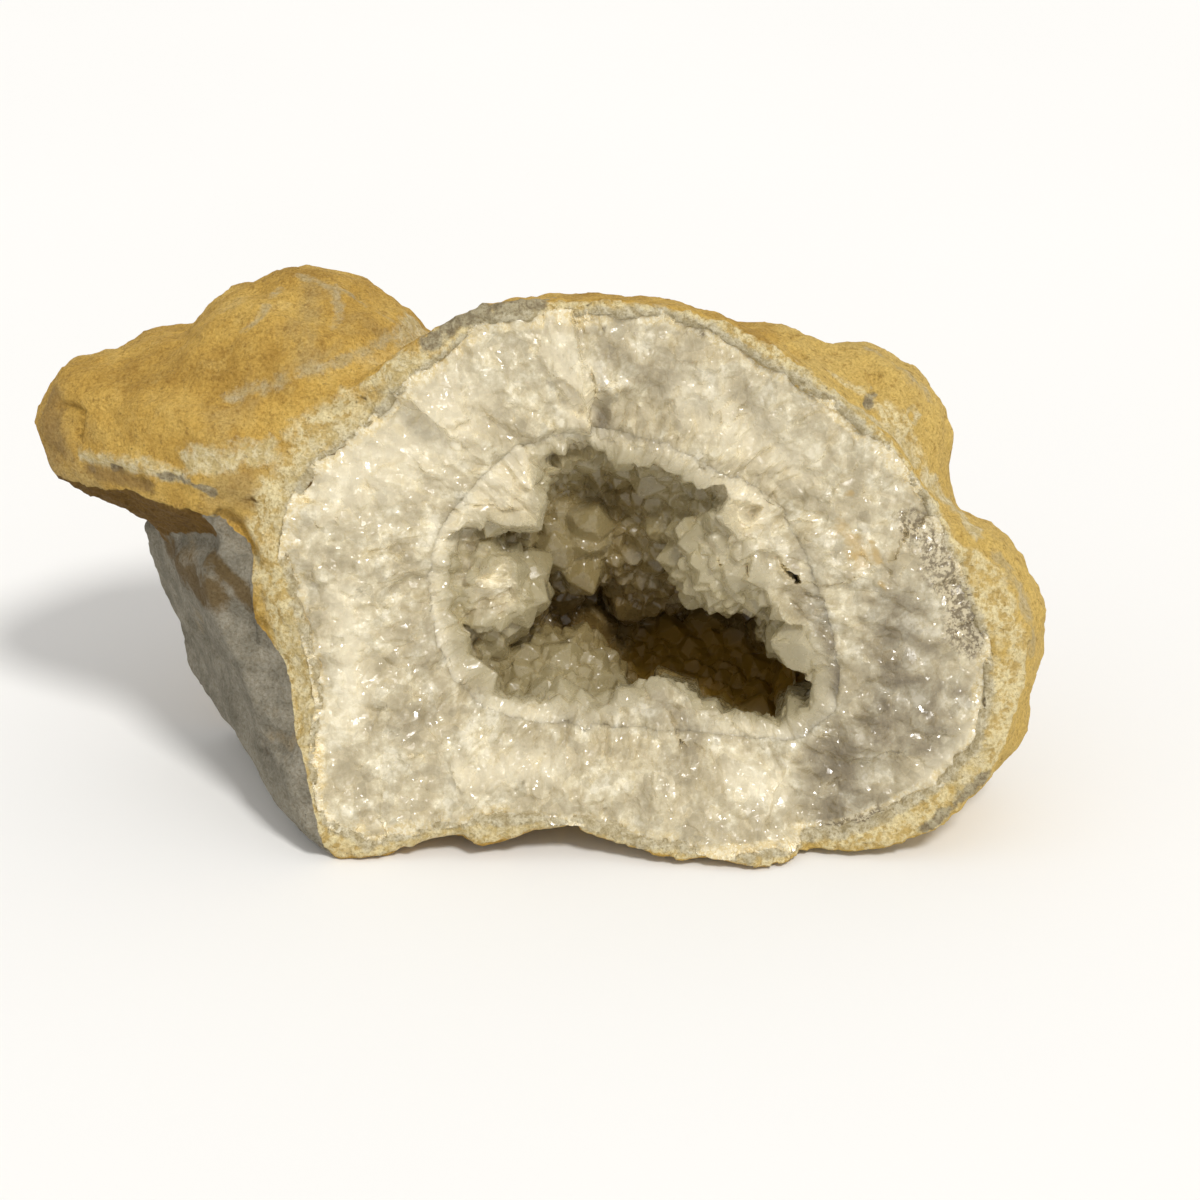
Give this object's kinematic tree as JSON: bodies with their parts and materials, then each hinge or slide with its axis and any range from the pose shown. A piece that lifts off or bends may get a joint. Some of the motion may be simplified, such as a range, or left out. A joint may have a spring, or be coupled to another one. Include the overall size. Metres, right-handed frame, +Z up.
{
  "type": "quartz geode",
  "caption": "Broken limestone nodule with a thick wall of massive quartz and a hollow lined with quartz crystals, resting on a flat spot.",
  "frame": {"origin": "middle of the bounding box, on the ground the geode rests on", "axes": "+X to the right along the longest extent, -Y the way the broken face looks, +Z up"},
  "size_m": [0.196, 0.0974, 0.1036],
  "materials": {
    "limestone": "matte",
    "massive_quartz": "satin",
    "crystal_quartz": "gloss"
  },
  "bodies": {
    "root": {"host_rock": "limestone", "quartz_wall": "massive_quartz", "crystal_crust": "crystal_quartz"}
  },
  "joints": []
}
